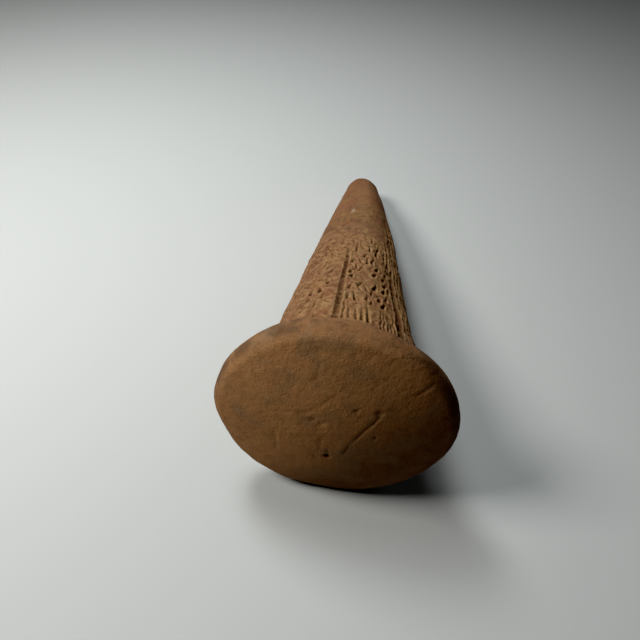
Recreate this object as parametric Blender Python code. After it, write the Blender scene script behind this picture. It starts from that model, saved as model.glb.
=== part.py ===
"""A hand-made clay foundation cone: a nail of fired clay with a mushroom head, inscribed round its shaft.

It lies as it does when loose, on the edge of its head and on its tip, with the head towards -Y. The body is
worked out as rings round its own axis: s runs along the axis from the middle of the head's face to the tip,
and an angle runs round it, 0 at the top and 90 degrees at +X. Metres, +Z up.
"""

import math
import random

import bmesh
import bpy
from mathutils import Matrix, Vector

MM = 0.001

# The turned form. FACE_SLOPE is the face's slope where it meets the rim, and RIM_TURN how far the rim turns back
LENGTH = 127.0 * MM
HEAD_RADIUS = 27.0 * MM
FACE_SLOPE = math.radians(17.0)
RIM_ROUND = 3.5 * MM
RIM_TURN = math.radians(160.0)
BACK_LENGTH = 6.5 * MM
BACK_HOLLOW = 2.2
NECK_RADIUS = 19.7 * MM
TIP_RADIUS = 6.9 * MM
TIP_NOSE = 10.5 * MM
TIP_FULLNESS = 2.3
SHAFT_BELLY = 0.85 * MM
BELLY_LEAN = 2.5

# What the hand left: waves of the rim, each with its number round, its height and its phase in degrees
RIM_WAVES = (
    (2, 0.27 * MM, 214.0),
    (3, 0.14 * MM, 262.0),
    (4, 0.09 * MM, 311.0),
    (5, 0.10 * MM, 343.0),
    (6, 0.14 * MM, 225.0),
)
# Flattened places of the rim: the angle where each is, how far it spreads, both in degrees, and its depth
RIM_FLATS = (
    (-110.0, 11.0, 0.22 * MM),
    (-144.0, 9.0, 0.28 * MM),
    (-74.0, 7.0, 0.27 * MM),
)
SHAFT_LUMP = 0.16 * MM
# Waves of the shaft: their number round, their turns along the shaft and their phase, in radians, and their share
SHAFT_WAVES = (
    (2, 9.0, 0.0, 1.0),
    (3, -17.0, 1.0, 0.7),
    (1, 31.0, 0.0, 0.5),
)
SHAFT_BEND = 0.3 * MM
FACE_DISH = 0.5 * MM
FACE_DISH_PLACE = (14.0 * MM, -4.0 * MM)
FACE_DISH_SPREAD = 9.0 * MM

# The inscription: rows along the shaft between ruled lines, with a double line on each side of the cone.
# Its lengths are shares of the shaft, from the neck to the nose
ROW_COUNT = 7
ROWS_BEFORE_DIVIDER = (1, 4)
DIVIDER_WIDTH = 3.6 * MM
FIRST_RULE = math.radians(-11.0)
RULE_WIDTH = 1.7 * MM
RULE_DEPTH = 0.65 * MM
FIRST_RULE_DEPTH = 0.95 * MM
RULE_FADE = 6.0 * MM
TEXT_SHARE = 0.46
LONG_TEXT_SHARE = 0.7
LONG_ROWS = (1, 2, 3)
CELLS_ACROSS = 7
CELL_LENGTH = 1.95 * MM
STROKE_DEPTH = 0.75 * MM
STROKE_LEAN = 0.75
STROKE_CHANCE = 0.8
STROKE_SEED = 11

# The long scratch across the face, from its upper end to its lower one
SCRATCH_WIDTH = 0.9 * MM
SCRATCH_DEPTH = 0.5 * MM
SCRATCH_PATH = (
    (9.0 * MM, 8.8 * MM),
    (7.5 * MM, 6.0 * MM),
    (5.8 * MM, 3.4 * MM),
    (4.5 * MM, 0.8 * MM),
    (3.6 * MM, -1.6 * MM),
    (3.0 * MM, -4.4 * MM),
)

# The worn flats under the rim and under the tip, which keep the cone from rolling
RIM_FLAT_WIDTH = 10.0 * MM
TIP_FLAT_WIDTH = 3.0 * MM

CLAY_COLOUR = (0.29, 0.155, 0.078, 1.0)
CLAY_ROUGHNESS = 0.88

# Rings in each stretch of the body, and how many steps before the tip the last one stands
FACE_RINGS = 5
RIM_RINGS = 4
BACK_RINGS = 3
TIP_RINGS = 9
TIP_CLOSING = 0.6

rim_edge = HEAD_RADIUS - RIM_ROUND * (1 - math.sin(FACE_SLOPE))
face_crown = rim_edge * math.tan(FACE_SLOPE) / 2
rim_middle = face_crown + RIM_ROUND * math.cos(FACE_SLOPE)
neck = rim_middle + RIM_ROUND + BACK_LENGTH
nose = LENGTH - TIP_NOSE
text_length = TEXT_SHARE * (nose - neck)
long_text_length = LONG_TEXT_SHARE * (nose - neck)


def shaft_radius(s):
    """The shaft's radius at s: a taper with a slight belly, closed by a blunt nose."""
    share = (s - neck) / (nose - neck)
    belly = SHAFT_BELLY * math.sin(math.pi * max(0.0, min(share, 1.0)) ** BELLY_LEAN)
    taper = NECK_RADIUS + (TIP_RADIUS - NECK_RADIUS) * min(share, 1.0) + belly
    into_nose = max(0.0, (s - nose) / TIP_NOSE)
    return taper * max(0.0, 1.0 - into_nose**TIP_FULLNESS) ** (1.0 / TIP_FULLNESS)


def face_profile():
    """(s, radius) of the crowned face, from its first ring to the start of the rim."""
    for ring in range(1, FACE_RINGS + 1):
        share = ring / FACE_RINGS
        yield face_crown * share**2, rim_edge * share


def rim_profile():
    """(s, radius) round the rim, on from the face's slope to the back of the head."""
    for ring in range(1, RIM_RINGS + 1):
        turn = FACE_SLOPE + (RIM_TURN - FACE_SLOPE) * ring / RIM_RINGS
        yield (
            rim_middle - RIM_ROUND * math.cos(turn),
            HEAD_RADIUS - RIM_ROUND * (1 - math.sin(turn)),
        )


def back_profile():
    """(s, radius) of the hollow curve from the back of the rim down to the shaft."""
    last_s, last_radius = list(rim_profile())[-1]
    for ring in range(1, BACK_RINGS):
        share = ring / BACK_RINGS
        yield (
            last_s + (neck - last_s) * share,
            NECK_RADIUS + (last_radius - NECK_RADIUS) * (1 - share) ** BACK_HOLLOW,
        )


def text_stations():
    """The rings of the inscribed length, one cell apart."""
    count = round(long_text_length / CELL_LENGTH)
    return [neck + long_text_length * i / count for i in range(count + 1)]


def tip_profile():
    """(s, radius) from the end of the inscription to the last ring of the nose, closer together at the end."""
    start = neck + long_text_length
    for ring in range(1, TIP_RINGS + 1):
        share = math.sin(math.pi / 2 * ring / (TIP_RINGS + TIP_CLOSING))
        s = start + (LENGTH - start) * share
        yield s, shaft_radius(s)


def stations():
    """Every ring of the body as (s, radius), from the face to the tip."""
    head = [*face_profile(), *rim_profile(), *back_profile()]
    text = [(s, shaft_radius(s)) for s in text_stations()]
    return head, text, list(tip_profile())


def strips():
    """The strips round the shaft in order, each as (angle of its first side, angle it spans, row number or None).

    A ruled line runs between each two strips. The strip inside a double line is blank and has no row number.
    """
    divider = DIVIDER_WIDTH / NECK_RADIUS
    row_span = (2 * math.pi - len(ROWS_BEFORE_DIVIDER) * divider) / ROW_COUNT
    angle = FIRST_RULE
    for row in range(ROW_COUNT):
        yield angle, row_span, row
        angle += row_span
        if row + 1 in ROWS_BEFORE_DIVIDER:
            yield angle, divider, None
            angle += divider


def columns():
    """Round the cone from the first ruled line, each column as (angle, rule number or None, row number or None).

    A ruled line has a column at its bottom, between the columns at its edges, and a row has CELLS_ACROSS cells.
    """
    rule = RULE_WIDTH / NECK_RADIUS
    found = []
    for number, (angle, span, row) in enumerate(strips()):
        found.append((angle - rule / 2, None, None))
        found.append((angle, number, None))
        cells = 1 if row is None else CELLS_ACROSS
        for i in range(cells):
            found.append((angle + rule / 2 + i * (span - rule) / cells, None, row))
    return found


def row_length(row):
    """How far along the shaft a row runs."""
    return long_text_length if row in LONG_ROWS else text_length


def rule_depth(number, s):
    """How deep a ruled line is at s. It fades in at the neck and out past the longer of its two strips."""
    rows = [row for _, _, row in strips()]
    length = max(row_length(rows[number - 1]), row_length(rows[number]))
    deepest = FIRST_RULE_DEPTH if number == 0 else RULE_DEPTH
    inside = min(s - neck + CELL_LENGTH, neck + length + RULE_FADE - s)
    return deepest * max(0.0, min(1.0, inside / RULE_FADE))


def rim_offset(angle):
    """How far the rim stands out of or inside a true circle at this angle."""
    offset = 0.0
    for waves, height, phase in RIM_WAVES:
        offset += height * math.cos(waves * angle - math.radians(phase))
    for place, spread, depth in RIM_FLATS:
        apart = math.remainder(angle - math.radians(place), 2 * math.pi)
        offset -= depth * math.exp(-((apart / math.radians(spread)) ** 2))
    return offset


def shaft_lump(s, angle):
    """The shaft's slow unevenness."""
    total = 0.0
    for waves, turns, phase, share in SHAFT_WAVES:
        total += share * math.sin(waves * angle + turns * s / LENGTH + phase)
    return SHAFT_LUMP * total


def surface_point(s, radius, angle, sunk=0.0):
    """A point of the clay at rest on its axis: the turned form with what the hand left."""
    on_head = max(0.0, min(1.0, (neck - s) / BACK_LENGTH))
    share = min(1.0, radius / rim_edge)
    radius += on_head * share**2 * rim_offset(angle)
    radius += (1.0 - on_head) * min(1.0, radius / TIP_RADIUS) * shaft_lump(s, angle)
    x = (radius - sunk) * math.sin(angle)
    z = (radius - sunk) * math.cos(angle)
    if s < face_crown:
        apart = math.dist((x, z), FACE_DISH_PLACE) / FACE_DISH_SPREAD
        s += FACE_DISH * math.exp(-(apart**2))
    along = s / LENGTH
    return Vector((x + SHAFT_BEND * math.sin(math.pi * along), s, z))


def stroke_runs(row):
    """The strokes of one row, as (first cell across, first cell along, cells across, cells along).

    They stand in groups of parallel long strokes, short ones or bars, and spell nothing.
    """
    pick = random.Random(STROKE_SEED * 100 + row)
    cells = int(row_length(row) / CELL_LENGTH) - 1
    half = CELLS_ACROSS // 2
    runs = []
    for first, width in ((0, half), (half, CELLS_ACROSS - half)):
        along = pick.randint(0, 1)
        while along < cells - 3:
            kind = pick.choice(("comb", "comb", "pits", "pits", "bars", "gap"))
            length = pick.randint(2, 3)
            for i in range(width):
                if kind == "comb" and pick.random() < STROKE_CHANCE:
                    runs.append((first + i, along, 1, length))
                for j in range(i % 2, length, 2):
                    if kind == "pits" and pick.random() < STROKE_CHANCE:
                        runs.append((first + i, along + j, 1, 1))
            if kind == "bars":
                for j in range(0, length, 2):
                    runs.append((first + pick.randint(0, 1), along + j, width - 1, 1))
            along += length + 1
    return runs


def ring_of(mesh, s, radius, around):
    """One ring of corners. A ruled line's bottom is sunk below its edges."""
    ring = []
    for angle, rule, _ in around:
        sunk = 0.0 if rule is None else rule_depth(rule, s)
        ring.append(mesh.verts.new(surface_point(s, radius, angle, sunk)))
    return ring


def press_stroke(mesh, rings, column, row, across, along):
    """Fills a run of cells with faces that go down to one point, nearer to the stroke's head."""
    count = len(rings[0])
    near = [rings[row][(column + i) % count] for i in range(across + 1)]
    right = [rings[row + j][(column + across) % count] for j in range(1, along)]
    far = [rings[row + along][(column + i) % count] for i in range(across, -1, -1)]
    left = [rings[row + j][column % count] for j in range(along - 1, 0, -1)]
    edge = near + right + far + left
    head = sum((corner.co for corner in near), Vector()) / len(near)
    middle = sum((corner.co for corner in edge), Vector()) / len(edge)
    deepest = head.lerp(middle, STROKE_LEAN)
    inward = Vector((deepest.x, 0.0, deepest.z)).normalized()
    bottom = mesh.verts.new(deepest - inward * STROKE_DEPTH)
    for i, corner in enumerate(edge):
        mesh.faces.new((corner, edge[i - 1], bottom))


def fill_shaft(mesh, rings, around):
    """The inscribed length: a face for each blank cell, and a pressed stroke for each run of cells."""
    taken = set()
    first_column = {}
    for column, (_, _, row) in enumerate(around):
        if row is not None:
            first_column.setdefault(row, column)
    for row, start in first_column.items():
        for across, along, wide, long in stroke_runs(row):
            press_stroke(mesh, rings, start + across, along, wide, long)
            for i in range(wide):
                taken.update((start + across + i, along + j) for j in range(long))
    for j in range(len(rings) - 1):
        join_rings(mesh, rings[j], rings[j + 1], {i for i, k in taken if k == j})


def join_rings(mesh, near, far, skip=()):
    """Faces between two rings, except in the columns to skip."""
    for i in range(len(near)):
        if i in skip:
            continue
        k = (i + 1) % len(near)
        mesh.faces.new((near[k], near[i], far[i], far[k]))


def close_end(mesh, ring, pole, outward):
    """Faces from a ring to the point that closes it."""
    for i in range(len(ring)):
        k = (i + 1) % len(ring)
        mesh.faces.new((ring[i], ring[k], pole) if outward else (ring[k], ring[i], pole))


def wear_depth(radius, width):
    """How deep a flat of this width goes into a round edge."""
    return radius - math.sqrt(radius**2 - (width / 2) ** 2)


def ground_under(corners, tilt, wear):
    """The height of the ground that wears this much off the lowest corner of a tilted body."""
    return wear + min(corner.z * math.cos(tilt) - corner.y * math.sin(tilt) for corner in corners)


def resting_pose(mesh):
    """How far the axis slopes when the rim and the tip both stand on their flats, and the ground's height."""
    head = [v.co for v in mesh.verts if v.co.y < neck]
    shaft = [v.co for v in mesh.verts if v.co.y >= neck]
    rim_wear = wear_depth(HEAD_RADIUS, RIM_FLAT_WIDTH)
    tip_wear = wear_depth(TIP_RADIUS, TIP_FLAT_WIDTH)
    low, high = 0.0, math.pi / 4
    for _ in range(40):
        tilt = (low + high) / 2
        if ground_under(head, tilt, rim_wear) < ground_under(shaft, tilt, tip_wear):
            low = tilt
        else:
            high = tilt
    return tilt, ground_under(head, tilt, rim_wear)


def lay_down(mesh):
    """Tilts the body to its resting pose and wears it flat underneath, at ground level."""
    tilt, ground = resting_pose(mesh)
    bmesh.ops.transform(mesh, matrix=Matrix.Rotation(-tilt, 3, "X"), verts=mesh.verts)
    bmesh.ops.translate(mesh, vec=(0.0, 0.0, -ground), verts=mesh.verts)
    cut = bmesh.ops.bisect_plane(
        mesh,
        geom=[*mesh.verts, *mesh.edges, *mesh.faces],
        plane_co=(0.0, 0.0, 0.0),
        plane_no=(0.0, 0.0, 1.0),
        clear_inner=True,
    )
    edges = [e for e in cut["geom_cut"] if isinstance(e, bmesh.types.BMEdge)]
    bmesh.ops.edgeloop_fill(mesh, edges=edges)
    bmesh.ops.recalc_face_normals(mesh, faces=mesh.faces)
    return tilt, ground


def centring(mesh):
    """The shift that puts the middle of the body's box over the origin."""
    shift = Vector()
    for axis in (0, 1):
        along = [v.co[axis] for v in mesh.verts]
        shift[axis] = -(min(along) + max(along)) / 2
    return shift


def face_depth(x, z):
    """s of the face's surface at a place on it."""
    radius = math.hypot(x, z)
    angle = math.atan2(x, z)
    return surface_point(face_crown * (radius / rim_edge) ** 2, radius, angle).y


def scratch_cutter():
    """A long thin solid with a diamond section, half sunk in the face along the scratch."""
    mesh = bmesh.new()
    path = [Vector((x, face_depth(x, z), z)) for x, z in SCRATCH_PATH]
    last = len(path) - 1
    sections = []
    for i, point in enumerate(path):
        along = (path[min(i + 1, last)] - path[max(i - 1, 0)]).normalized()
        across = along.cross(Vector((0.0, 1.0, 0.0))).normalized()
        swell = 0.25 if i == last else 1.0
        deep = Vector((0.0, SCRATCH_DEPTH * swell, 0.0))
        wide = across * SCRATCH_WIDTH / 2 * swell
        corners = (point + deep, point + wide, point - deep, point - wide)
        sections.append([mesh.verts.new(corner) for corner in corners])
    for near, far in zip(sections, sections[1:]):
        for i in range(4):
            k = (i + 1) % 4
            mesh.faces.new((near[i], near[k], far[k], far[i]))
    mesh.faces.new(sections[0])
    mesh.faces.new(sections[-1])
    bmesh.ops.recalc_face_normals(mesh, faces=mesh.faces)
    return mesh


def clay():
    material = bpy.data.materials.new("fired_clay")
    material.use_nodes = True
    shader = material.node_tree.nodes["Principled BSDF"]
    shader.inputs["Base Color"].default_value = CLAY_COLOUR
    shader.inputs["Roughness"].default_value = CLAY_ROUGHNESS
    shader.inputs["Metallic"].default_value = 0.0
    return material


def make_object(name, mesh, material=None):
    data = bpy.data.meshes.new(name)
    mesh.to_mesh(data)
    mesh.free()
    if material:
        data.materials.append(material)
    obj = bpy.data.objects.new(name, data)
    bpy.context.scene.collection.objects.link(obj)
    return obj


def main():
    for obj in list(bpy.data.objects):
        bpy.data.objects.remove(obj)

    around = columns()
    head, text, tip = stations()
    body = bmesh.new()
    head_rings = [ring_of(body, s, radius, around) for s, radius in head]
    text_rings = [ring_of(body, s, radius, around) for s, radius in text]
    tip_rings = [ring_of(body, s, radius, around) for s, radius in tip]
    close_end(body, head_rings[0], body.verts.new(surface_point(0.0, 0.0, 0.0)), True)
    plain_rings = [*head_rings, text_rings[0]]
    for near, far in zip(plain_rings, plain_rings[1:]):
        join_rings(body, near, far)
    fill_shaft(body, text_rings, around)
    plain_rings = [text_rings[-1], *tip_rings]
    for near, far in zip(plain_rings, plain_rings[1:]):
        join_rings(body, near, far)
    close_end(body, tip_rings[-1], body.verts.new(surface_point(LENGTH, 0.0, 0.0)), False)

    tilt, ground = lay_down(body)
    shift = centring(body)
    bmesh.ops.translate(body, vec=shift, verts=body.verts)
    cone = make_object("foundation_cone", body, clay())

    cutter = scratch_cutter()
    bmesh.ops.transform(cutter, matrix=Matrix.Rotation(-tilt, 3, "X"), verts=cutter.verts)
    bmesh.ops.translate(cutter, vec=shift - Vector((0.0, 0.0, ground)), verts=cutter.verts)
    scratch = make_object("scratch_cutter", cutter)
    scratch.hide_render = True
    scratch.display_type = "WIRE"
    cut = cone.modifiers.new("face_scratch", "BOOLEAN")
    cut.operation = "DIFFERENCE"
    cut.object = scratch

    cone.data.shade_smooth()
    cone.data.set_sharp_from_angle(angle=math.radians(35.0))


main()
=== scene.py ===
"""The looks of the clay foundation cone: its fine surface, its clay, a pale floor, soft light and the camera.

The fine surface has the solid's own form. Its lengths are in millimetres, worked out round the cone's axis:
s runs from the middle of the head's face to the tip, and an angle runs round it, 0 at the top and 90 degrees
at +X.
"""

import itertools
import math

import bpy
import numpy as np
from mathutils import Matrix, Vector


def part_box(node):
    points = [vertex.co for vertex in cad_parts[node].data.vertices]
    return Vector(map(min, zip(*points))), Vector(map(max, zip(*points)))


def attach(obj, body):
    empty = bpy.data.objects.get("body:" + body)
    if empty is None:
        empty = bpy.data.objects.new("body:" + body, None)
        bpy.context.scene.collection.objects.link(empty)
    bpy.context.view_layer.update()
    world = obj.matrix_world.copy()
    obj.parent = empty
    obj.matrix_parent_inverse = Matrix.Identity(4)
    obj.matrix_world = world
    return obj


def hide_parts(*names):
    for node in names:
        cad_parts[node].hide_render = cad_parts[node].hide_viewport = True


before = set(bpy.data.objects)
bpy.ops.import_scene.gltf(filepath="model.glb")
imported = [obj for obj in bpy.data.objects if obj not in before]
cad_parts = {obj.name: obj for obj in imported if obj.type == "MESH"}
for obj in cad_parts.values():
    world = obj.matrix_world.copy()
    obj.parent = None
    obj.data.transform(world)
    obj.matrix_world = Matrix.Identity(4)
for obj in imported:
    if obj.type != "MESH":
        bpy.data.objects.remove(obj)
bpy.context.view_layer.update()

MM = 0.001
NODE = "foundation_cone"

# The form, as in the solid
LENGTH = 127.0
HEAD_RADIUS = 27.0
FACE_SLOPE = math.radians(17.0)
RIM_ROUND = 3.5
RIM_TURN = math.radians(160.0)
BACK_LENGTH = 6.5
BACK_HOLLOW = 2.2
NECK_RADIUS = 19.7
TIP_RADIUS = 6.9
TIP_NOSE = 10.5
TIP_FULLNESS = 2.3
SHAFT_BELLY = 0.85
BELLY_LEAN = 2.5
RIM_WAVES = ((2, 0.27, 214.0), (3, 0.14, 262.0), (4, 0.09, 311.0), (5, 0.10, 343.0), (6, 0.14, 225.0))
RIM_FLATS = ((-110.0, 11.0, 0.22), (-144.0, 9.0, 0.28), (-74.0, 7.0, 0.27))
SHAFT_LUMP = 0.16
SHAFT_WAVES = ((2, 9.0, 0.0, 1.0), (3, -17.0, 1.0, 0.7), (1, 31.0, 0.0, 0.5))
SHAFT_BEND = 0.3
FACE_DISH = 0.5
FACE_DISH_PLACE = (14.0, -4.0)
FACE_DISH_SPREAD = 9.0
RIM_FLAT_WIDTH = 10.0
TIP_FLAT_WIDTH = 3.0

# The inscription's layout, as in the solid
ROW_COUNT = 7
ROWS_BEFORE_DIVIDER = (1, 4)
DIVIDER_WIDTH = 3.6
FIRST_RULE = math.radians(-11.0)
TEXT_SHARE = 0.46
LONG_TEXT_SHARE = 0.7
LONG_ROWS = (1, 2, 3)

# The fine mesh: how far apart its corners are on the face, round the rim, in the inscription and at the tip,
# and over what length that changes
FACE_FINE = 0.45
RIM_FINE = 0.62
TEXT_FINE = 0.345
TIP_FINE = 0.50
FINE_FADE = 6.0
# How much closer the corners stand on top than half way down the sides
TOP_FINER = 0.28
# The fine surface lies this much inside the solid's
INSET = 0.06

rim_edge = HEAD_RADIUS - RIM_ROUND * (1 - math.sin(FACE_SLOPE))
face_crown = rim_edge * math.tan(FACE_SLOPE) / 2
rim_middle = face_crown + RIM_ROUND * math.cos(FACE_SLOPE)
neck = rim_middle + RIM_ROUND + BACK_LENGTH
nose = LENGTH - TIP_NOSE
text_length = TEXT_SHARE * (nose - neck)
long_text_length = LONG_TEXT_SHARE * (nose - neck)


def smooth(low, high, value):
    """0 below low, 1 above high, and an S-curve between."""
    share = np.clip((value - low) / (high - low), 0.0, 1.0)
    return share * share * (3 - 2 * share)


def noise(points, size, seed):
    """Smooth random lumps of about this size in millimetres, from -1 to 1."""
    table = np.random.RandomState(seed).uniform(-1.0, 1.0, (32, 32, 32))
    place = points / size
    base = np.floor(place).astype(int)
    part = place - base
    part = part * part * (3 - 2 * part)
    total = np.zeros(len(points))
    for corner in itertools.product((0, 1), repeat=3):
        cell = (base + corner) % 32
        weight = np.prod(np.where(np.array(corner) == 1, part, 1 - part), axis=1)
        total += weight * table[cell[:, 0], cell[:, 1], cell[:, 2]]
    return total


def layered_noise(points, size, seed, layers=3):
    """Lumps with finer ones on them."""
    total = np.zeros(len(points))
    for layer in range(layers):
        total += noise(points, size / 2**layer, seed + layer) / 2**layer
    return total


# Form

def taper(s):
    """The shaft's radius, the nose left out."""
    share = np.clip((s - neck) / (nose - neck), 0.0, 1.0)
    belly = SHAFT_BELLY * np.sin(np.pi * share**BELLY_LEAN)
    return NECK_RADIUS + (TIP_RADIUS - NECK_RADIUS) * share + belly


def profile_curve():
    """The turned profile as two close-set arrays, s and radius, from the middle of the face to the tip."""
    t = np.linspace(0.0, 1.0, 400)
    turn = FACE_SLOPE + (RIM_TURN - FACE_SLOPE) * t
    rim_s = rim_middle - RIM_ROUND * np.cos(turn)
    rim_radius = HEAD_RADIUS - RIM_ROUND * (1 - np.sin(turn))
    back_s = rim_s[-1] + (neck - rim_s[-1]) * t
    back_radius = NECK_RADIUS + (rim_radius[-1] - NECK_RADIUS) * (1 - t) ** BACK_HOLLOW
    shaft_s = neck + (nose - neck) * t
    end = np.pi / 2 * t
    nose_s = nose + TIP_NOSE * np.sin(end) ** (2 / TIP_FULLNESS)
    nose_radius = TIP_RADIUS * np.maximum(np.cos(end), 0.0) ** (2 / TIP_FULLNESS)
    s = (face_crown * t**2, rim_s, back_s, shaft_s, nose_s)
    radius = (rim_edge * t, rim_radius, back_radius, taper(shaft_s), nose_radius)
    joined_s = np.concatenate([[0.0], *(part[1:] for part in s)])
    joined_radius = np.concatenate([[0.0], *(part[1:] for part in radius)])
    return joined_s, joined_radius


def spacing(s):
    """The distance between the mesh's corners at s."""
    behind = RIM_FINE + (FACE_FINE - RIM_FINE) * (1 - smooth(face_crown, face_crown + 2.0, s))
    text = TEXT_FINE + (TIP_FINE - TEXT_FINE) * smooth(0.0, FINE_FADE, s - neck - long_text_length)
    return behind + (text - behind) * smooth(neck - FINE_FADE / 2, neck, s)


def rings():
    """The rings of the fine mesh, as (s, radius, number of corners)."""
    s, radius = profile_curve()
    step = np.hypot(np.diff(s), np.diff(radius))
    height = math.sqrt(3) / 2
    count = np.concatenate([[0.0], np.cumsum(step / (height * spacing((s[1:] + s[:-1]) / 2)))])
    wanted = np.linspace(0.0, count[-1], int(count[-1]) + 1)[1:-1]
    ring_s = np.interp(wanted, count, s)
    ring_radius = np.interp(wanted, count, radius)
    corners = np.maximum(6, np.round(2 * np.pi * ring_radius / spacing(ring_s)).astype(int))
    return ring_s, ring_radius, corners


def rim_offset(angle):
    """How far the rim stands out of or inside a true circle."""
    offset = np.zeros_like(angle)
    for waves, height, phase in RIM_WAVES:
        offset += height * np.cos(waves * angle - math.radians(phase))
    for place, spread, depth in RIM_FLATS:
        apart = wrapped(angle - math.radians(place)) / math.radians(spread)
        offset -= depth * np.exp(-(apart**2))
    return offset


def wrapped(angle):
    """The same angle from -180 to 180 degrees, in radians."""
    return (angle + np.pi) % (2 * np.pi) - np.pi


def shaft_lump(s, angle):
    """The shaft's slow unevenness."""
    total = np.zeros_like(s)
    for waves, turns, phase, share in SHAFT_WAVES:
        total += share * np.sin(waves * angle + turns * s / LENGTH + phase)
    return SHAFT_LUMP * total


def body_points(s, radius, angle):
    """The clay on its own axis, before its fine relief."""
    on_head = np.clip((neck - s) / BACK_LENGTH, 0.0, 1.0)
    out = on_head * np.minimum(1.0, radius / rim_edge) ** 2 * rim_offset(angle)
    out += (1 - on_head) * np.minimum(1.0, radius / TIP_RADIUS) * shaft_lump(s, angle)
    full = radius + out - INSET * smooth(0.0, 4 * INSET, radius)
    x = full * np.sin(angle)
    z = full * np.cos(angle)
    apart = np.hypot(x - FACE_DISH_PLACE[0], z - FACE_DISH_PLACE[1]) / FACE_DISH_SPREAD
    dish = np.where(s < face_crown, FACE_DISH * np.exp(-(apart**2)), 0.0)
    x = x + SHAFT_BEND * np.sin(np.pi * s / LENGTH)
    return np.stack([x, s + dish, z], axis=1)


# Mesh

def ring_faces(first, near, far):
    """Triangles between two rings that differ in their numbers of corners.

    The near ring's corners start at first, and the far ring's follow them.
    """
    near_edge = np.arange(near)
    far_edge = np.arange(far)
    across = np.ceil((near_edge + 0.5) / near * far - 0.5).astype(int) % far
    back = (np.floor((far_edge + 0.5) / far * near - 0.5).astype(int) + 1) % near
    near_faces = np.stack([first + near_edge, first + (near_edge + 1) % near, first + near + across], axis=1)
    far_faces = np.stack([first + near + (far_edge + 1) % far, first + near + far_edge, first + back], axis=1)
    return np.concatenate([near_faces, far_faces])


def around(count):
    """The angles of one ring's corners, closer together on top."""
    turn = 2 * np.pi * np.arange(count) / count
    return turn - TOP_FINER * np.sin(turn)


def clay_mesh():
    """The corners' s, radius and angle, and the triangles between them."""
    ring_s, ring_radius, corners = rings()
    s = [0.0]
    radius = [0.0]
    angle = [0.0]
    faces = []
    first = 1
    for i, count in enumerate(corners):
        s.extend([ring_s[i]] * count)
        radius.extend([ring_radius[i]] * count)
        angle.extend(around(count))
        if i == 0:
            edge = np.arange(count)
            faces.append(np.stack([first + (edge + 1) % count, first + edge, 0 * edge], axis=1))
        if i + 1 < len(corners):
            faces.append(ring_faces(first, count, corners[i + 1]))
        first += count
    edge = np.arange(corners[-1])
    last = first - corners[-1]
    faces.append(np.stack([last + edge, last + (edge + 1) % corners[-1], 0 * edge + first], axis=1))
    s.append(LENGTH)
    radius.append(0.0)
    angle.append(0.0)
    return np.array(s), np.array(radius), np.array(angle), np.concatenate(faces)


# Inscription

def strips():
    """The strips between the ruled lines, as (angle of the first side, span, row number or None)."""
    divider = DIVIDER_WIDTH / NECK_RADIUS
    row_span = (2 * math.pi - len(ROWS_BEFORE_DIVIDER) * divider) / ROW_COUNT
    angle = FIRST_RULE
    for row in range(ROW_COUNT):
        yield angle, row_span, row
        angle += row_span
        if row + 1 in ROWS_BEFORE_DIVIDER:
            yield angle, divider, None
            angle += divider


def row_length(row):
    """How far along the shaft a row runs."""
    return long_text_length if row in LONG_ROWS else text_length


class Strokes:
    """Wedges pressed into the clay, each with a broad deep head and a tail that runs out.

    A wedge starts at s and an angle in degrees. Its direction is 0 towards the tip and 90 degrees towards
    greater angles, and its tail is the share of its width left at its end.
    """

    def __init__(self):
        self.found = []

    def add(self, s, angle, length, direction, width, depth, tail=0.2):
        self.found.append((s, math.radians(angle), length, math.radians(direction), width, depth, tail))

    def press(self, s, angle, radius):
        """How deep the strokes go at each corner, and the lips that they push up beside them."""
        depth = np.zeros(len(s))
        lip = np.zeros(len(s))
        for at, turn, length, direction, width, deep, tail in self.found:
            local = np.nonzero(np.abs(s - at) < length + 2)[0]
            across = radius[local] * wrapped(angle[local] - turn)
            keep = np.abs(across) < length + 2
            local = local[keep]
            across = across[keep]
            along = s[local] - at
            u = (along * math.cos(direction) + across * math.sin(direction)) / length
            v = across * math.cos(direction) - along * math.sin(direction)
            half = width / 2 * (1 - (1 - tail) * np.clip(u, 0.0, 1.0) ** 0.8)
            ends = smooth(-0.25 / length, 0.1 / length, u) * (1 - smooth(0.85, 1.05, u))
            floor = deep * (1 - 0.7 * np.clip(u, 0.0, 1.0))
            section = np.clip(1.2 - np.abs(v) / np.maximum(half, 0.05), 0.0, 0.8) / 0.8
            depth[local] = np.maximum(depth[local], floor * ends * section)
            beside = (np.abs(v) - half) / 0.28 - 0.7
            on_side = smooth(-0.6 / length, 0.0, u) * (1 - smooth(0.75, 1.0, u))
            lip[local] = np.maximum(lip[local], 0.24 * floor * np.exp(-(beside**2)) * on_side)
        return depth, lip


class SeededPick:
    """The few random draws that the strokes need."""

    def __init__(self, seed):
        self.draw = np.random.RandomState(seed)

    def near(self, value, give):
        """A value at most this far from the one given."""
        return value + float(self.draw.uniform(-give, give))

    def chance(self, share):
        return float(self.draw.uniform()) < share

    def one_of(self, things):
        return things[self.draw.randint(len(things))]


def upright_comb(strokes, pick, at, middle, wide, high, per_mm):
    """Long strokes side by side along the shaft."""
    count = max(3, round(wide / 1.35))
    for i in range(count):
        across = ((i + 0.5) / count - 0.5) * wide
        strokes.add(
            pick.near(at + 0.5, 0.4), middle + across * per_mm, pick.near(0.8 * high, 0.5), pick.near(0, 5),
            pick.near(0.95, 0.15), pick.near(0.6, 0.12),
        )


def fine_comb(strokes, pick, at, middle, wide, high, per_mm):
    """Narrow lines side by side."""
    count = max(4, round(wide / 1.0))
    for i in range(count):
        across = ((i + 0.5) / count - 0.5) * wide
        strokes.add(
            pick.near(at + 0.3, 0.3), middle + across * per_mm, pick.near(0.9 * high, 0.5), pick.near(0, 4),
            0.6, pick.near(0.42, 0.08), 0.6,
        )


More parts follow.
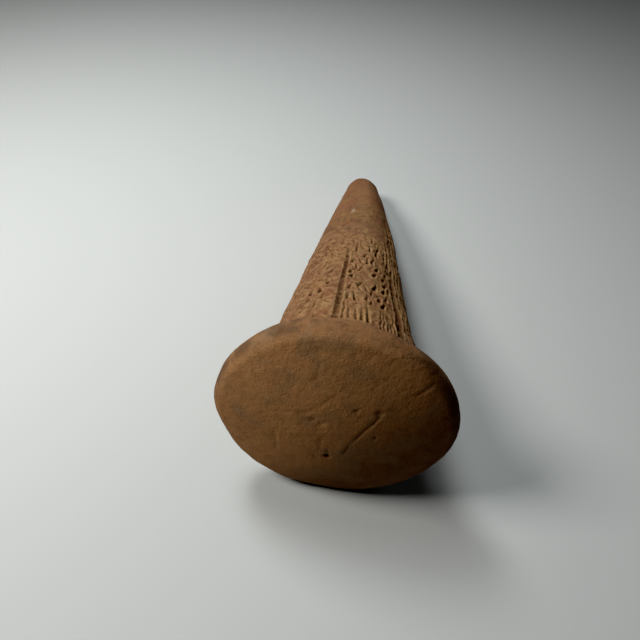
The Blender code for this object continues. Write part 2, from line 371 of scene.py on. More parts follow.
def crossbars(strokes, pick, at, middle, wide, high, per_mm):
    """Strokes across the row, one above another."""
    for i in range(max(2, round(high / 1.7))):
        strokes.add(
            pick.near(at + 0.7 + 1.7 * i, 0.15), pick.near(middle - (wide / 2 - 0.6) * per_mm, 0.8),
            pick.near(wide - 1.4, 0.5), pick.near(90, 7), pick.near(1.0, 0.15), pick.near(0.55, 0.12),
        )


def punches(strokes, pick, at, middle, wide, high, per_mm):
    """Short deep wedge heads in a zigzag."""
    for i in range(max(2, round(high / 1.9))):
        for side in (-1, 1):
            if pick.chance(0.85):
                across = side * wide * 0.22 + (0.7 if i % 2 else -0.3)
                strokes.add(
                    pick.near(at + 0.8 + 1.9 * i, 0.35), middle + across * per_mm, pick.near(1.6, 0.3),
                    pick.near(0, 50), pick.near(1.35, 0.15), pick.near(0.9, 0.15),
                )


def slants(strokes, pick, at, middle, wide, high, per_mm):
    """Pairs of strokes that lean together."""
    for side in (-1, 1):
        for lean in (-30, 30):
            across = side * wide * 0.25 - lean / 30 * 1.1
            strokes.add(
                pick.near(at + 0.7, 0.3), middle + across * per_mm, pick.near(0.75 * high, 0.4),
                pick.near(lean, 7), pick.near(0.85, 0.1), pick.near(0.5, 0.1),
            )


def ladder(strokes, pick, at, middle, wide, high, per_mm):
    """Uprights between two bars."""
    for end in (0.5, high - 0.7):
        strokes.add(
            at + end, middle - (wide / 2 - 0.7) * per_mm, wide - 1.4, pick.near(90, 4), pick.near(0.85, 0.1),
            pick.near(0.5, 0.1), 0.5,
        )
    upright_comb(strokes, pick, at + 0.6, middle, wide - 1.2, high - 1.4, per_mm)


GROUPS = (upright_comb, upright_comb, crossbars, crossbars, punches, slants, ladder, fine_comb)
GROUP_HIGH = 5.6
EMPTY_SHARE = 0.08


def write_row(strokes, seed, start, span, row):
    """Fills one row with groups of strokes that spell nothing."""
    pick = SeededPick(seed)
    end = neck + row_length(row)
    at = neck + 0.8
    while at < end - 3:
        wide_row = span * float(taper(at))
        per_mm = math.degrees(1 / float(taper(at)))
        count = 2 if wide_row > 10.5 else 1
        for i in range(count):
            middle = math.degrees(start + span * (i + 0.5) / count)
            wide = wide_row / count - (0.9 if count > 1 else 1.8)
            if not pick.chance(EMPTY_SHARE):
                pick.one_of(GROUPS)(strokes, pick, pick.near(at, 0.4), middle, wide, GROUP_HIGH - 0.6, per_mm)
        at += pick.near(GROUP_HIGH, 0.5)


# The top row's marks: deep wedge heads as (s, angle)
TOP_HOLES = (
    (28.6, 21.0), (30.6, 27.6), (33.6, 25.6), (33.6, 18.0), (37.2, 27.6), (40.2, 26.6), (40.2, 17.5),
    (43.8, 20.6), (46.2, 34.5), (36.6, -3.5), (39.4, -5.0), (43.2, 30.5), (35.4, 31.8), (26.6, 24.0),
)
# Its gashes: (s, angle, length, direction, width, depth)
TOP_GASHES = (
    (52.4, 20.6, 9.4, 9, 1.0, 1.0), (46.8, 15.8, 4.6, 8, 1.0, 0.85), (52.6, -0.6, 9.5, 1, 0.8, 0.45),
    (50.5, 29.8, 7.5, 8, 0.9, 0.5), (46.8, 32.8, 7.0, 6, 0.8, 0.5), (54.0, 32.4, 6.5, -4, 0.8, 0.45),
)
# Its faint marks: (s, angle, length, direction)
TOP_FAINT = (
    (40.8, 1.0, 5.4, -22), (40.8, 1.8, 5.6, 22), (42.2, 1.0, 3.6, -2), (26.4, -3.6, 3.6, 6),
    (26.2, 2.4, 4.2, -8), (27.0, 11.0, 3.6, 4), (26.4, 15.0, 3.2, -10), (31.0, -3.2, 3.2, 18),
    (31.4, 6.0, 2.8, -22), (33.4, 3.6, 2.6, 30), (30.2, 15.0, 3.0, 12), (45.6, -4.4, 3.4, 22),
    (46.4, 4.6, 3.4, -18), (46.2, 10.6, 4.0, 4), (49.8, 7.0, 3.0, 28), (53.6, 8.0, 4.4, 66),
    (57.4, 10.0, 3.6, 74), (54.6, 14.0, 4.4, -6), (58.8, -5.4, 3.4, 12), (60.6, 16.0, 3.6, 10),
)


def write_top_row(strokes):
    """The row that the photograph shows best.

    It has combs by the head, a zigzag of holes, gashes and faint strokes.
    """
    pick = SeededPick(7)
    per_mm = math.degrees(1 / NECK_RADIUS)
    upright_comb(strokes, pick, neck + 0.6, 4.0, 7.4, 9.6, per_mm)
    fine_comb(strokes, pick, neck + 0.2, 29.0, 6.0, 9.4, per_mm)
    for s, angle in TOP_HOLES:
        strokes.add(
            s, angle, pick.near(2.5, 0.4), pick.near(18, 9), pick.near(1.20, 0.12), pick.near(1.10, 0.15),
            0.35,
        )
    for gash in TOP_GASHES:
        strokes.add(*gash)
    for s, angle, length, direction in TOP_FAINT:
        strokes.add(s, angle, length, direction, pick.near(0.85, 0.15), pick.near(0.60, 0.1), 0.4)


# The worn part left of the top groove
WORN_MIDDLE = math.radians(-58.0)
WORN_SPREAD = math.radians(38.0)
# The dents there: (s, angle, length, direction, depth)
WORN_DENTS = (
    (30.2, -34.5, 2.8, 14, 1.7), (30.2, -26.0, 2.6, -14, 1.6), (23.2, -27.5, 2.8, 8, 1.9),
    (22.6, -37.0, 3.2, 22, 1.4), (34.4, -43.0, 2.6, -20, 1.2), (44.6, -31.0, 3.4, 12, 1.2),
    (27.0, -24.0, 3.2, 20, 1.0), (27.4, -33.0, 2.6, -18, 1.1), (33.6, -20.5, 2.6, -10, 0.9),
    (39.0, -36.0, 3.2, 10, 0.8), (48.0, -24.0, 3.0, 14, 0.9), (52.4, -36.0, 3.6, 8, 0.8),
    (55.0, -43.0, 3.0, 14, 1.2), (40.0, -22.0, 2.8, 16, 0.8), (21.6, -44.0, 2.6, 10, 1.0),
    (36.0, -29.0, 2.4, 24, 0.8),
)
# The long wavy lines right of the top row: (s, angle, length, depth, width)
SIDE_LINES = (
    (19.0, 40.5, 30.0, 1.1, 1.6), (60.0, 43.5, 24.0, 0.9, 1.1),
    (28.0, 48.5, 26.0, 0.9, 1.1), (19.0, 54.0, 68.0, 0.9, 1.2),
)
# The other lines as (depth, width, width at the end, fade): the groove on top, and the two lines of each
# double one
TOP_LINE = (0.58, 1.9, 0.9, 14.0)
FIRST_LINE = (1.0, 1.5, 1.0, 6.0)
SECOND_LINE = (0.75, 1.0, 0.8, 6.0)
# How far round from the strip's side they stand, in radians, and how much shorter or longer than its rows
# they are
TOP_LINE_TURN = 0.035
TOP_LINE_SHORTER = 4
SECOND_LINE_TURN = 0.09
SECOND_LINE_LONGER = 8
# Where the strokes on that side are faint
FAINT_MIDDLE = math.radians(48.0)
FAINT_SPREAD = math.radians(12.0)


def inscription():
    """Every stroke of every row."""
    strokes = Strokes()
    for start, span, row in strips():
        if row == 0:
            write_top_row(strokes)
            scatter(strokes, 21, 30, math.degrees(start) + 3, math.degrees(start + span) - 2, 0.34)
        elif row == ROW_COUNT - 1:
            scatter(strokes, 22, 130, math.degrees(start), math.degrees(start + span) - 3, 0.62)
        elif row is not None:
            write_row(strokes, 100 + row, start, span, row)
    pick = SeededPick(5)
    for s, angle, length, direction, depth in WORN_DENTS:
        strokes.add(s, angle, length, direction, pick.near(1.3, 0.3), depth, 0.4)
    return strokes


def scatter(strokes, seed, count, low, high, depth):
    """Short worn dents and scratches between two angles, in no order."""
    pick = SeededPick(seed)
    half = text_length / 2
    for _ in range(count):
        strokes.add(
            pick.near(neck + half, half), pick.near((low + high) / 2, (high - low) / 2), pick.near(2.3, 1.0),
            pick.near(20, 80), pick.near(1.0, 0.3), pick.near(depth, depth * 0.4), 0.4,
        )


def ruled_lines(s, angle, radius, points):
    """How deep the ruled lines go, and the lips beside them."""
    depth = np.zeros(len(s))
    lip = np.zeros(len(s))
    rows = [row for _, _, row in strips()]
    waver = layered_noise(points, 9.0, 71)
    rough = layered_noise(points, 2.2, 75)
    lines = []
    for number, (start, _, _) in enumerate(strips()):
        length = max(row_length(rows[number - 1]), row_length(rows[number]))
        if number == 0:
            lines.append((neck, start + TOP_LINE_TURN, length - TOP_LINE_SHORTER, *TOP_LINE))
        else:
            lines.append((neck, start, length, *FIRST_LINE))
            lines.append((neck, start + SECOND_LINE_TURN, length + SECOND_LINE_LONGER, *SECOND_LINE))
    for at, turn, length, deep, wide in SIDE_LINES:
        lines.append((at, math.radians(turn), length, deep, wide, 0.7 * wide, 8.0))
    for first, start, length, deep, wide, narrow, fade in lines:
        share = np.clip((s - first) / length, 0.0, 1.0)
        half = (wide + (narrow - wide) * share) / 2
        off = np.abs(radius * wrapped(angle - start) + 0.28 * waver + 0.12 * rough)
        ends = smooth(-2.0, 1.5, s - first) * (1 - smooth(length - fade, length + 4, s - first))
        section = 1 - smooth(0.2, 1.15, off / half)
        depth = np.maximum(depth, deep * ends * section * (0.85 + 0.3 * rough))
        lip = np.maximum(lip, 0.2 * ends * np.exp(-(((off - half) / 0.3 - 0.7) ** 2)))
    return depth, lip


def top_groove(s, angle, radius):
    """The dark earth along the groove on top, strongest by the head."""
    off = np.abs(radius * wrapped(angle - FIRST_RULE - 0.02))
    return (1 - smooth(0.2, 2.0, off)) * smooth(-1.0, 1.0, s - neck) * (1 - smooth(14.0, 40.0, s - neck))


# Relief of the head's face, in millimetres from its middle: x to the right and up

SCRATCH = ((9.6, 9.8), (8.4, 7.4), (7.0, 4.8), (5.6, 2.2), (4.4, -0.6), (3.6, -2.8), (3.0, -4.9))
# Short marks on the face, each as its two ends, its width and its depth
FACE_MARKS = (
    ((15.3, 14.7), (18.2, 17.3), 1.1, 0.15),
    ((-12.0, 5.5), (-6.0, 7.0), 1.2, 0.07),
    ((-6.0, 7.0), (-2.0, 11.0), 1.2, 0.07),
    ((-2.0, 11.0), (2.0, 16.0), 1.2, 0.05),
    ((-2.0, 0.5), (-2.3, -4.0), 1.0, 0.10),
    ((-0.6, -4.0), (-0.5, -6.2), 0.9, 0.24),
    ((-4.2, 19.5), (-4.6, 16.2), 1.2, 0.08),
    ((-12.0, -1.0), (-12.0, -8.0), 1.2, 0.09),
    ((5.5, -5.0), (9.0, -3.6), 1.0, 0.12),
)
# Round pits on the face: where, how wide and how deep
FACE_PITS = (
    ((-0.5, -6.4), 1.5, 0.60),
    ((8.6, 9.6), 1.7, 0.32),
    ((4.2, 9.7), 1.3, 0.22),
    ((9.0, 2.0), 1.3, 0.26),
    ((-4.3, 5.5), 1.8, 0.20),
    ((-2.5, 4.6), 2.8, 0.16),
)


def to_line(x, up, start, end):
    """The distance from each place to a line between two points, and which side it is on."""
    along = np.subtract(end, start)
    length = np.hypot(*along)
    along = along / length
    dx = x - start[0]
    dz = up - start[1]
    t = np.clip(dx * along[0] + dz * along[1], 0.0, length)
    away = np.hypot(dx - t * along[0], dz - t * along[1])
    side = dx * along[1] - dz * along[0]
    return away, side


def face_relief(x, up, points):
    """How deep the marks on the face go. Below 0 is a raised lip."""
    rough = layered_noise(points, 1.6, 41)
    waver = 0.35 * noise(points, 2.6, 43)
    away = np.full(len(x), 99.0)
    side = np.zeros(len(x))
    for start, end in zip(SCRATCH, SCRATCH[1:]):
        here, which = to_line(x + waver, up, start, end)
        side = np.where(here < away, which, side)
        away = np.minimum(away, here)
    depth = 0.30 * (1 - smooth(0.05, 0.7, away + 0.12 * rough)) * (0.75 + 0.5 * rough)
    depth -= 0.16 * np.exp(-(((away - 0.95) / 0.5) ** 2)) * (side < 0)
    for start, end, width, deep in FACE_MARKS:
        away = to_line(x + waver, up, start, end)[0]
        depth = np.maximum(depth, deep * (1 - smooth(0.05, 0.6 * width, away + 0.12 * rough)))
    for place, width, deep in FACE_PITS:
        away = np.hypot(x - place[0], up - place[1])
        depth = np.maximum(depth, deep * (1 - smooth(0.1, 0.6 * width, away + 0.25 * rough)))
    return depth


# The pale chip near the tip and the soil on the upper shaft: where, as (s, angle), how long and how wide
CHIP = (83.0, math.radians(-14.0))
CHIP_LENGTH = 1.7
CHIP_WIDTH = 0.6
CHIP_DEPTH = 0.25
SOILED = (74.0, math.radians(-10.0))
SOILED_LENGTH = 11.0
SOILED_WIDTH = 10.0

# The middle of the top row, which is paler
TOP_ROW_MIDDLE = math.radians(7.0)
TOP_ROW_SPREAD = math.radians(15.0)


def worn_side(angle):
    """1 in the middle of the shaft's worn side, falling to 0 round it."""
    return np.exp(-((wrapped(angle - WORN_MIDDLE) / WORN_SPREAD) ** 2))


def near_place(s, angle, radius, place, length, width):
    """1 at a place on the shaft, falling to 0 over this length and width."""
    across = radius * wrapped(angle - place[1])
    return np.exp(-(((s - place[0]) / length) ** 2) - (across / width) ** 2)


def pits(points, size, seed, share):
    """Scattered small hollows, from 0 to 1, over this share of the surface."""
    lumps = noise(points, size, seed)
    edge = np.quantile(lumps, 1 - share)
    return smooth(edge, edge + 0.35, lumps)


def creases(points, size, seed):
    """Narrow creases that wind about, 1 in their middle and 0 away from them."""
    return 1 - smooth(0.0, 0.28, np.abs(noise(points, size, seed)))


# How much of the strokes' depth wear takes, and of the ruled lines' on the worn side
STROKES_WORN = 0.62
LINES_WORN = 0.35
# The heights of the clay's unevenness: its roughness in the inscription, the head's streaks, the plain clay's
# lumps and grain, what the shaft and its worn side have more of, and the slow lumps under it all
COARSE_ROUGH = 0.17
FINE_ROUGH = 0.12
CREASE_DEPTH = 0.07
STREAK_HEIGHT = 0.09
PLAIN_LUMPS = 0.05
PLAIN_GRAIN = 0.025
SHAFT_GRAIN = 0.07
WORN_LUMPS = 0.19
SLOW_LUMPS = 0.10
SHAFT_SWELLS = 0.07
# The depths of the small pits everywhere, in the inscription and on the shaft
PIT_DEPTH = 0.18
TEXT_PIT_DEPTH = 0.55
SHAFT_PIT_DEPTH = 0.30
# The whole surface is sunk by this, and the inscription by more, so that what stands proud stays inside the
# solid's box
SUNK = 0.13
TEXT_SUNK = 0.10


def relief(s, angle, radius, points):
    """How deep the surface lies under the plain form, and how deep its pressed marks alone are."""
    x = points[:, 0]
    up = points[:, 2]
    on_face = 1 - smooth(face_crown - 0.3, face_crown + 2.0, s)
    on_shaft = smooth(neck - 3.0, neck + 1.0, s)
    in_text = on_shaft * (1 - smooth(-5.0, 7.0, s - neck - text_length - 4))

    warp = np.stack([noise(points, 1.6, 11), noise(points, 1.6, 12)]) * 0.22
    marks, lip = inscription().press(s + warp[0], angle + warp[1] / np.maximum(radius, 1.0), radius)
    ruled, ruled_lip = ruled_lines(s, angle, radius, points)
    worn_strip = worn_side(angle)
    faint = np.exp(-((wrapped(angle - FAINT_MIDDLE) / FAINT_SPREAD) ** 2))
    wear = smooth(-0.3, 0.8, layered_noise(points, 9.0, 21)) * 0.5 + 0.8 * worn_strip + 0.8 * faint
    wear = np.clip(wear, 0.0, 1.0)
    marks = np.maximum(marks * (1 - STROKES_WORN * wear), ruled * (1 - LINES_WORN * worn_strip))
    lip = np.maximum(lip, ruled_lip) * (1 - 0.7 * wear) * (1 - smooth(0.05, 0.2, marks))
    marks = marks + face_relief(x, up, points) * on_face
    marks = marks + CHIP_DEPTH * near_place(s, angle, radius, CHIP, CHIP_LENGTH, CHIP_WIDTH)

    rough = COARSE_ROUGH * layered_noise(points, 3.0, 31, 2) + FINE_ROUGH * layered_noise(points, 1.3, 35, 2)
    rough += CREASE_DEPTH * creases(points, 1.6, 38)
    rough *= 1 - 0.35 * worn_strip
    streaks = STREAK_HEIGHT * layered_noise(points * (0.13, 0.6, 1.0), 0.9, 91, 2)
    streaks = streaks * (1 - smooth(-18.0, -11.0, up))
    plain = PLAIN_LUMPS * layered_noise(points, 5.0, 51) + PLAIN_GRAIN * layered_noise(points, 1.2, 55, 2)
    shaft = plain + SHAFT_GRAIN * layered_noise(points, 1.5, 57, 2)
    grain = plain + (shaft - plain) * on_shaft
    grain = grain + (rough - grain) * in_text + streaks * (1 - on_shaft)
    grain += WORN_LUMPS * worn_strip * on_shaft * layered_noise(points * (1.0, 0.34, 1.0), 1.8, 95, 2)
    lumps = SLOW_LUMPS * layered_noise(points, 13.0, 61, 2) + SHAFT_SWELLS * on_shaft * noise(points, 6.0, 66)
    holes = PIT_DEPTH * pits(points, 1.7, 81, 0.02) + TEXT_PIT_DEPTH * pits(points, 1.25, 83, 0.02) * in_text
    holes += SHAFT_PIT_DEPTH * pits(points, 1.3, 85, 0.012) * on_shaft
    return marks - lip + grain + lumps + holes + SUNK + TEXT_SUNK * in_text, marks


# Placing

def wear_depth(radius, width):
    """How deep a flat of this width goes into a round edge."""
    return radius - math.sqrt(radius**2 - (width / 2) ** 2)


def resting_pose(points, s):
    """The slope of the axis at rest on the flats of the rim and the tip, and the ground's height."""
    head = points[s < neck]
    shaft = points[s >= neck]
    low, high = 0.0, math.pi / 4
    for _ in range(40):
        tilt = (low + high) / 2
        under_head = (head[:, 2] * math.cos(tilt) - head[:, 1] * math.sin(tilt)).min()
        under_shaft = (shaft[:, 2] * math.cos(tilt) - shaft[:, 1] * math.sin(tilt)).min()
        under_head += wear_depth(HEAD_RADIUS, RIM_FLAT_WIDTH)
        if under_head < under_shaft + wear_depth(TIP_RADIUS, TIP_FLAT_WIDTH):
            low = tilt
        else:
            high = tilt
    return tilt, under_head


def laid_down(points, tilt, ground):
    """The points at rest on the ground, worn flat there."""
    turned = points @ np.array(Matrix.Rotation(-tilt, 3, "X")).T
    turned[:, 2] = np.maximum(turned[:, 2] - ground, 0.0)
    return turned


def corner_normals(points, faces):
    """The surface's direction at each corner."""
    normal = np.cross(points[faces[:, 1]] - points[faces[:, 0]], points[faces[:, 2]] - points[faces[:, 0]])
    total = np.zeros_like(points)
    for i in range(3):
        np.add.at(total, faces[:, i], normal)
    return total / np.maximum(np.linalg.norm(total, axis=1, keepdims=True), 1e-12)


def spread(values, faces, times):
    """The values with each corner's mixed into its neighbours' this many times."""
    edges = np.concatenate([faces[:, [0, 1]], faces[:, [1, 2]], faces[:, [2, 0]]])
    count = np.bincount(edges[:, 0], minlength=len(values))
    for _ in range(times):
        around = np.bincount(edges[:, 0], weights=values[edges[:, 1]], minlength=len(values)) / count
        values = (values + around) / 2
    return values


def store(mesh, name, values):
    """Gives each corner a value that the material reads by this name."""
    attribute = mesh.attributes.new(name, "FLOAT", "POINT")
    attribute.data.foreach_set("value", values.astype(np.float32))


def make_cone():
    """The clay cone as one fine mesh, with what its material needs to know of each corner."""
    s, radius, angle, faces = clay_mesh()
    plain = body_points(s, radius, angle)
    tilt, ground = resting_pose(plain, s)
    depth, marks = relief(s, angle, radius, plain)
    groove = top_groove(s, angle, radius)
    shaped = plain - corner_normals(plain, faces) * depth[:, None]
    points = laid_down(shaped, tilt, ground)

    low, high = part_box(NODE)
    middle = (points.min(axis=0) + points.max(axis=0)) / 2
    points[:, 0] += (low.x + high.x) / 2 / MM - middle[0]
    points[:, 1] += (low.y + high.y) / 2 / MM - middle[1]

    mesh = bpy.data.meshes.new("foundation_cone_clay")
    mesh.from_pydata((points * MM).tolist(), [], faces.tolist())
    mesh.shade_smooth()
    store(mesh, "hollow", depth - spread(depth, faces, 16))
    store(mesh, "marks", marks)
    store(mesh, "groove", groove)
    store(mesh, "along", s / LENGTH)
    store(mesh, "soiled", near_place(s, angle, radius, SOILED, SOILED_LENGTH, SOILED_WIDTH))
    past_text = 1 - 0.8 * smooth(62.0, 88.0, s)
    store(mesh, "worn", worn_side(angle) * smooth(neck - 3.0, neck + 1.0, s) * past_text)
    store(mesh, "top_row", np.exp(-((wrapped(angle - TOP_ROW_MIDDLE) / TOP_ROW_SPREAD) ** 2)))
    # Painted shade: the head's face is darkened towards its lower right, mostly for shade and partly for a
    # dark stain there
    store(mesh, "shade", smooth(-4.0, 17.0, 0.75 * plain[:, 0] - 0.65 * plain[:, 2]) * (s < neck))
    # Painted light: the top of the head's face is lightened in its colour, more the higher it lies
    store(mesh, "face_top_painted_light", smooth(2.0, 19.0, plain[:, 2] - 0.35 * plain[:, 0]) * (s < neck))
    store(mesh, "chip", near_place(s, angle, radius, CHIP, CHIP_LENGTH, CHIP_WIDTH))
    mesh.materials.append(clay_material())
    cone = bpy.data.objects.new("foundation_cone_clay", mesh)
    bpy.context.scene.collection.objects.link(cone)
    return cone


# Materials

class Nodes:
    """A short way to write a material's nodes."""

    def __init__(self, name):
        self.material = bpy.data.materials.new(name)
        self.material.use_nodes = True
        self.tree = self.material.node_tree
        self.shader = self.tree.nodes["Principled BSDF"]
        self.place = self.tree.nodes.new("ShaderNodeTexCoord").outputs["Object"]

    def link(self, source, target):
        self.tree.links.new(source, target)

    def noise(self, size, detail=3.0, rough=0.5, stretch=1.0):
        """Noise with lumps of about this size in millimetres, and this many times as long along the cone."""
        node = self.tree.nodes.new("ShaderNodeTexNoise")
        node.inputs["Scale"].default_value = 1.0 / (size * MM)
        node.inputs["Detail"].default_value = detail
        node.inputs["Roughness"].default_value = rough
        place = self.tree.nodes.new("ShaderNodeVectorMath")
        place.operation = "MULTIPLY"
        place.inputs[1].default_value = (1.0, 1.0 / stretch, 1.0)
        self.link(self.place, place.inputs[0])
        self.link(place.outputs["Vector"], node.inputs["Vector"])
        return node.outputs["Fac"]

    def attribute(self, name):
        node = self.tree.nodes.new("ShaderNodeAttribute")
        node.attribute_name = name
        return node.outputs["Fac"]

    def ramp(self, source, low, high, to_low=0.0, to_high=1.0):
        node = self.tree.nodes.new("ShaderNodeMapRange")
        node.interpolation_type = "SMOOTHSTEP"
        for socket, value in (("From Min", low), ("From Max", high), ("To Min", to_low), ("To Max", to_high)):
            node.inputs[socket].default_value = value
        self.link(source, node.inputs["Value"])
        return node.outputs["Result"]

    def math(self, operation, first, second=0.0):
        node = self.tree.nodes.new("ShaderNodeMath")
        node.operation = operation
        for i, value in enumerate((first, second)):
            if isinstance(value, (int, float)):
                node.inputs[i].default_value = value
            else:
                self.link(value, node.inputs[i])
        return node.outputs["Value"]

    def mix(self, share, first, second, blend="MIX"):
        node = self.tree.nodes.new("ShaderNodeMix")
        node.data_type = "RGBA"
        node.blend_type = blend
        for name, value in (("Factor", share), ("A", first), ("B", second)):
            kind = "VALUE" if name == "Factor" else "RGBA"
            socket = [i for i in node.inputs if i.name == name and i.type == kind][0]
            if isinstance(value, bpy.types.NodeSocket):
                self.link(value, socket)
            else:
                socket.default_value = value
        return [o for o in node.outputs if o.type == "RGBA"][0]


# The clay's colours
OCHRE = (0.212, 0.110, 0.046, 1.0)
RED_CLAY = (0.186, 0.079, 0.040, 1.0)
HEAD_BROWN = (0.380, 0.187, 0.078, 1.0)
# A lighter brown for the painted light on the top of the head's face
PAINTED_LIGHT_HEAD_TOP = (0.460, 0.260, 0.130, 1.0)
BROWN = (0.118, 0.058, 0.027, 1.0)
PALE = (0.330, 0.200, 0.098, 1.0)
# Dark earth in the hollows and the groove, also used for the painted shade on the face and in the deep marks
EARTH_AND_SHADE = (0.028, 0.013, 0.005, 1.0)
GREY_EARTH = (0.096, 0.071, 0.041, 1.0)
SOIL = (0.066, 0.051, 0.031, 1.0)
SMUDGE = (0.190, 0.126, 0.074, 1.0)
WORN_RED = (0.140, 0.062, 0.031, 1.0)
DARK_RED = (0.085, 0.034, 0.017, 1.0)
RIM_BROWN = (0.112, 0.060, 0.030, 1.0)
CHIP_PALE = (0.38, 0.27, 0.17, 1.0)


# Where the tip's, the head's and the face's colours start and are full, as shares of the length
TIP_FROM, TIP_FULL = 0.72, 0.92
HEAD_FROM, HEAD_FULL = 0.13, 0.07
FACE_FROM, FACE_FULL = 0.046, 0.026
# The middle of the inscription, and how far from it the crumbs of pale clay start and are full
ROWS_MIDDLE = 0.34
ROWS_FROM, ROWS_FULL = 0.26, 0.18


def clay_material():
    """Dry fired clay with ochre and red-brown patches, dark earth in its hollows and pale worn ridges, with
    painted light on the top of the head's face, painted shade on its lower right and painted shadow in the
    deep marks.
    """
    n = Nodes("fired_clay_surface")
    along = n.attribute("along")
    hollow = n.attribute("hollow")
    marks = n.attribute("marks")

    patches = n.ramp(n.noise(8.0, 5.0, 0.65), 0.42, 0.58)
    colour = n.mix(patches, OCHRE, RED_CLAY)
    tip = n.ramp(along, TIP_FROM, TIP_FULL)
    colour = n.mix(n.math("MULTIPLY", tip, 0.65), colour, RED_CLAY)
    head = n.ramp(along, HEAD_FROM, HEAD_FULL)
    colour = n.mix(n.math("MULTIPLY", head, 0.75), colour, HEAD_BROWN)

    mottle = n.ramp(n.noise(3.6, 5.0, 0.65), 0.50, 0.68)
    face = n.ramp(along, FACE_FROM, FACE_FULL)
    uneven = n.math("SUBTRACT", 1.0, n.math("MULTIPLY", face, 0.55))
    colour = n.mix(n.math("MULTIPLY", mottle, n.math("MULTIPLY", uneven, 0.50)), colour, BROWN)
    dust = n.ramp(n.noise(5.5, 5.0, 0.7), 0.53, 0.68)
    colour = n.mix(n.math("MULTIPLY", dust, n.math("MULTIPLY", uneven, 0.45)), colour, GREY_EARTH)
    light = n.ramp(n.noise(1.9, 5.0, 0.7), 0.50, 0.66)
    colour = n.mix(n.math("MULTIPLY", light, 0.30), colour, PALE)
    specks = n.ramp(n.noise(0.55, 2.0, 0.5), 0.58, 0.70)
    colour = n.mix(n.math("MULTIPLY", specks, 0.28), colour, PALE)
    dark_specks = n.ramp(n.noise(0.8, 2.0, 0.6), 0.56, 0.70)
    colour = n.mix(n.math("MULTIPLY", dark_specks, n.math("MULTIPLY", uneven, 0.45)), colour, BROWN)

    worn = n.attribute("worn")
    colour = n.mix(n.math("MULTIPLY", worn, 0.36), colour, WORN_RED)
    blotches = n.ramp(n.noise(2.1, 4.0, 0.6, 2.2), 0.50, 0.62)
    colour = n.mix(n.math("MULTIPLY", n.math("MULTIPLY", worn, blotches), 0.72), colour, DARK_RED)
    top_row = n.math("MULTIPLY", n.attribute("top_row"), n.math("SUBTRACT", 1.0, head))
    colour = n.mix(n.math("MULTIPLY", top_row, 0.20), colour, PALE)
    uneven_rim = n.ramp(n.noise(4.5, 4.0, 0.6), 0.42, 0.60, 0.55, 1.0)
    rim = n.math("MULTIPLY", n.math("SUBTRACT", head, face), uneven_rim)
    colour = n.mix(rim, colour, RIM_BROWN)
    # Painted light on the top of the head's face
    face_top_painted_light = n.math("MULTIPLY", n.attribute("face_top_painted_light"), face)
    colour = n.mix(n.math("MULTIPLY", face_top_painted_light, 0.16), colour, PAINTED_LIGHT_HEAD_TOP)
    # Painted shade on the lower right of the head's face
    colour = n.mix(n.math("MULTIPLY", n.attribute("shade"), 0.58), colour, EARTH_AND_SHADE)

    soil = n.math("MULTIPLY", n.attribute("soiled"), n.ramp(n.noise(1.5, 4.0, 0.7), 0.48, 0.60))
    colour = n.mix(n.math("MULTIPLY", soil, 0.72), colour, SOIL)
    smudge = n.math("MULTIPLY", head, n.ramp(n.noise(6.5, 3.0, 0.5), 0.50, 0.68))
    colour = n.mix(n.math("MULTIPLY", smudge, 0.45), colour, SMUDGE)

    rows = n.ramp(n.math("ABSOLUTE", n.math("SUBTRACT", along, ROWS_MIDDLE)), ROWS_FROM, ROWS_FULL)
    stain = n.math("MULTIPLY", n.attribute("groove"), 0.42)
    colour = n.mix(stain, colour, EARTH_AND_SHADE)
    crumbs = n.ramp(n.noise(1.4, 3.0, 0.6), 0.47, 0.60, 0.0, 0.42)
    colour = n.mix(n.math("MULTIPLY", rows, crumbs), colour, PALE)
    ridge = n.ramp(hollow, -0.04, -0.26)
    ridge = n.math("MULTIPLY", ridge, n.math("SUBTRACT", 0.60, n.math("MULTIPLY", worn, 0.25)))
    colour = n.mix(ridge, colour, PALE)
    cavity = n.ramp(hollow, 0.04, 0.32)
    colour = n.mix(n.math("MULTIPLY", cavity, 0.80), colour, EARTH_AND_SHADE)
    # Dark earth in the deep marks, made darker still as painted shadow
    deep = n.ramp(marks, 0.32, 0.95)
    colour = n.mix(n.math("MULTIPLY", deep, 0.66), colour, EARTH_AND_SHADE)
    colour = n.mix(n.math("MULTIPLY", n.attribute("chip"), 0.85), colour, CHIP_PALE)
    n.link(colour, n.shader.inputs["Base Color"])

    n.link(n.ramp(n.noise(3.0, 3.0), 0.3, 0.7, 0.82, 0.96), n.shader.inputs["Roughness"])
    n.shader.inputs["Specular IOR Level"].default_value = 0.22
    grain = n.math("MULTIPLY", n.noise(0.45, 3.0, 0.6), 0.6)
    pitted = n.noise(1.3, 4.0, 0.6)
    bump = n.tree.nodes.new("ShaderNodeBump")
    bump.inputs["Strength"].default_value = 0.6
    bump.inputs["Distance"].default_value = 0.3 * MM
    n.link(n.math("ADD", grain, pitted), bump.inputs["Height"])
    n.link(bump.outputs["Normal"], n.shader.inputs["Normal"])
    return n.material


FLOOR_COLOUR = (0.532, 0.545, 0.538, 1.0)
# Half the floor's width in metres
FLOOR_HALF = 1.5


def make_floor():
    """A plain pale floor."""
    half = FLOOR_HALF
    corners = [(-half, -half, 0), (half, -half, 0), (half, half, 0), (-half, half, 0)]
    mesh = bpy.data.meshes.new("floor")
    mesh.from_pydata(corners, [], [(0, 1, 2, 3)])
    material = bpy.data.materials.new("pale_floor")
    material.use_nodes = True
    shader = material.node_tree.nodes["Principled BSDF"]
    shader.inputs["Base Color"].default_value = FLOOR_COLOUR
    shader.inputs["Roughness"].default_value = 0.9
    shader.inputs["Specular IOR Level"].default_value = 0.2
    mesh.materials.append(material)
    floor = bpy.data.objects.new("floor", mesh)
    bpy.context.scene.collection.objects.link(floor)


# Light and camera

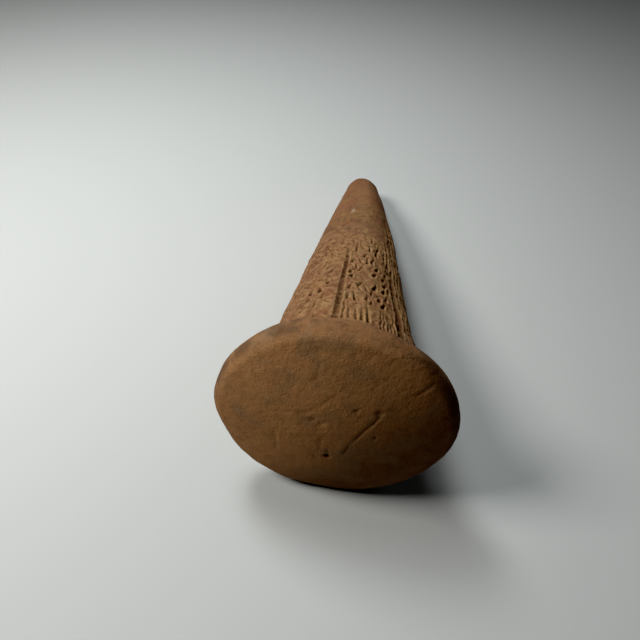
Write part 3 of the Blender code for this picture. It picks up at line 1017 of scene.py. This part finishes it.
COOL = (0.96, 0.98, 1.0)
DAYLIGHT = (0.96, 1.0, 1.0)
WARM = (1.0, 0.985, 0.95)
# The lamps: name, place and width in metres, power in watts, beam in degrees and colour
LAMPS = (
    ("back_lamp", (-0.16, 0.12, 0.34), 0.10, 0.31, 140.0, DAYLIGHT),
    ("high_lamp", (-0.12, 0.10, 0.38), 0.14, 0.25, 140.0, DAYLIGHT),
    ("left_lamp", (-0.235, -0.066, 0.262), 0.11, 0.92, 180.0, WARM),
    ("right_fill", (0.50, 0.30, 0.60), 0.50, 0.20, 180.0, COOL),
)
# The lamps point at this place in metres
LIT_PLACE = (0.0, 0.0, 0.02)
ROOM_LIGHT = 0.01


def area_light(name, place, width, power, beam, colour):
    """A soft round lamp that is turned to the cone."""
    light = bpy.data.lights.new(name, "AREA")
    light.color = colour
    light.shape = "DISK"
    light.size = width
    light.energy = power
    light.spread = math.radians(beam)
    lamp = bpy.data.objects.new(name, light)
    lamp.location = place
    lamp.rotation_euler = (Vector(LIT_PLACE) - Vector(place)).to_track_quat("-Z", "Y").to_euler()
    bpy.context.scene.collection.objects.link(lamp)


def make_light():
    """Two lamps behind the cone, a lower one to its left that grazes the head's face, and a weak fill."""
    for lamp in LAMPS:
        area_light(*lamp)
    world = bpy.data.worlds.new("dim_room")
    world.use_nodes = True
    background = world.node_tree.nodes["Background"]
    background.inputs["Color"].default_value = (*COOL, 1.0)
    background.inputs["Strength"].default_value = ROOM_LIGHT
    bpy.context.scene.world = world


# How the picture's tones are set: light below about this brightness is black
BLACK = 0.016
TONE_POINTS = (0.004, 0.008, 0.013, 0.02, 0.03, 0.05, 0.10, 0.20, 0.50)


def set_tones():
    """Takes a little light off every tone, which turns the deepest ones black."""
    view = bpy.context.scene.view_settings
    view.view_transform = "Standard"
    view.use_curve_mapping = True
    curve = view.curve_mapping.curves[3]
    for before in TONE_POINTS:
        curve.points.new(before, (before - BLACK) / (1 - (BLACK / before) ** 4))
    view.curve_mapping.update()


CAMERA_PLACE = (-2.1, -108.7, 121.0)
CAMERA_YAW = math.radians(-3.5)
CAMERA_PITCH = math.radians(49.78)
CAMERA_ROLL = math.radians(5.64)
CAMERA_LENS = 27.04
SENSOR = 36.0


def make_camera():
    """Looks down at the cone over its head, at the photograph's angle."""
    camera = bpy.data.cameras.new("camera")
    camera.lens = CAMERA_LENS
    camera.sensor_width = SENSOR
    camera.clip_start = 0.005
    holder = bpy.data.objects.new("camera", camera)
    turn = Matrix.Rotation(-CAMERA_YAW, 4, "Z") @ Matrix.Rotation(math.pi / 2 - CAMERA_PITCH, 4, "X")
    turn = turn @ Matrix.Rotation(CAMERA_ROLL, 4, "Z")
    holder.matrix_world = Matrix.Translation(Vector(CAMERA_PLACE) * MM) @ turn
    bpy.context.scene.collection.objects.link(holder)
    bpy.context.scene.camera = holder


make_camera()
make_light()
set_tones()
make_floor()
cone = make_cone()
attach(cone, "root")
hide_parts(NODE)
